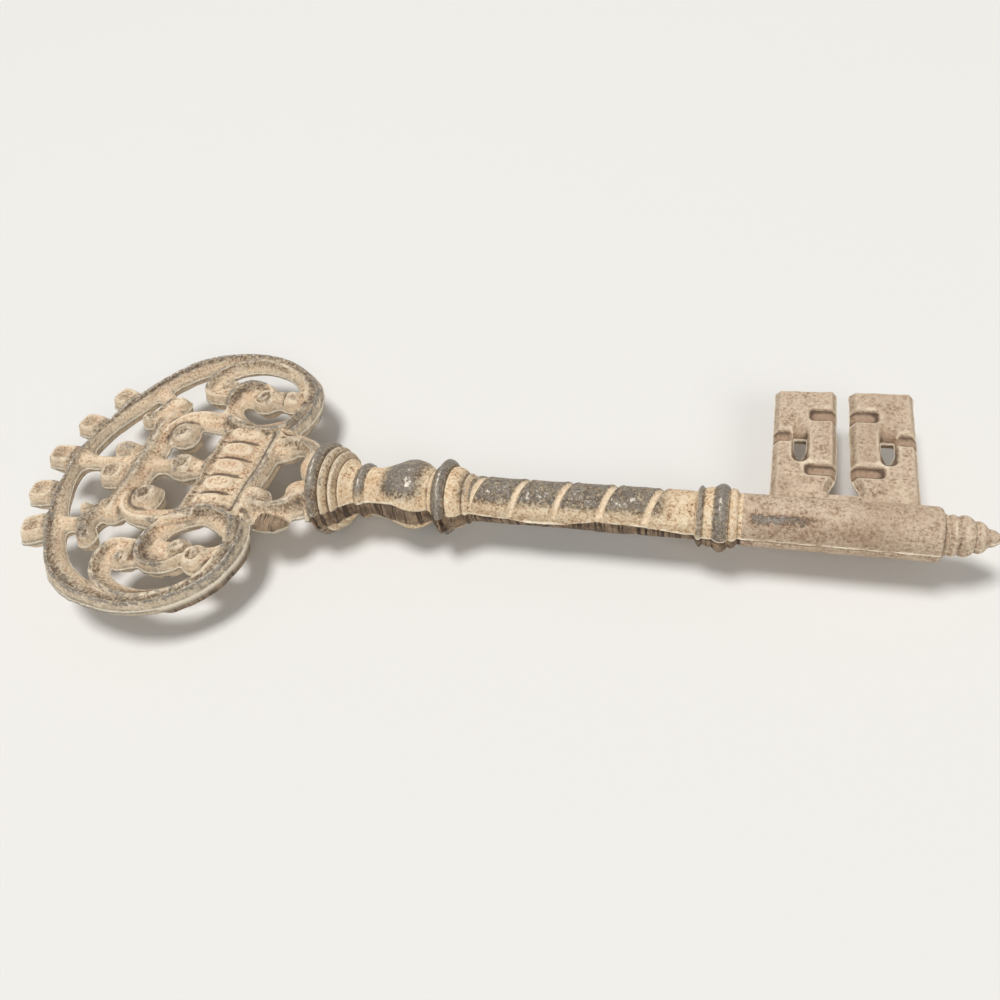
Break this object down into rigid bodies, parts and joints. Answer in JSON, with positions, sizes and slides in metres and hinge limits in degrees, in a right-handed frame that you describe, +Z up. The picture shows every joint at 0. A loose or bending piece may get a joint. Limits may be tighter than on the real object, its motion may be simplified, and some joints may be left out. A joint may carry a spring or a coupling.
{
  "type": "decorative skeleton key",
  "caption": "Large cast-iron decorative skeleton key with an openwork scroll bow, a turned and twisted shank, and a bit of two warded tabs.",
  "frame": {"origin": "middle of the underside of the key's bounding box; the key's axis runs 18.5 mm above it", "axes": "+X along the shank from the bow to the tip, +Y towards the bit, +Z up, out of the face of the bow"},
  "size_m": [0.3799, 0.1412, 0.037],
  "materials": {
    "bow_wash": "sandy antique wash over cast iron, worn to the iron on the ridges",
    "shank_wash": "antique wash in the hollows, bare dark iron with a soft gloss on the rings and ridges",
    "bit_wash": "thin rose-grey antique wash over cast iron"
  },
  "bodies": {
    "root": {"rim_scroll_bit_side": "bow_wash", "rim_scroll_plain_side": "bow_wash", "rim_beads": "bow_wash", "inner_scroll_bit_side": "bow_wash", "inner_scroll_plain_side": "bow_wash", "volute_bit_side": "bow_wash", "volute_plain_side": "bow_wash", "leaf_bud_bit_side": "bow_wash", "leaf_bud_plain_side": "bow_wash", "cross_bar": "bow_wash", "cross_hook_bit_side": "bow_wash", "cross_hook_plain_side": "bow_wash", "bow_stem": "bow_wash", "centre_link": "bow_wash", "side_scroll_bit_side": "bow_wash", "side_scroll_plain_side": "bow_wash", "gadroon_clasp": "bow_wash", "throat_bar": "bow_wash", "throat_arm_bit_side": "bow_wash", "throat_arm_plain_side": "bow_wash", "gate_stub": "bow_wash", "bow_collar": "shank_wash", "neck_bead": "shank_wash", "vase_knop": "shank_wash", "middle_collar": "shank_wash", "twisted_shank": "shank_wash", "bit_collar": "shank_wash", "barrel": "bit_wash", "tip_finial": "bit_wash", "bit_web": "bit_wash", "bit_tab_shank_side": "bit_wash", "bit_tab_tip_side": "bit_wash"}
  },
  "joints": []
}
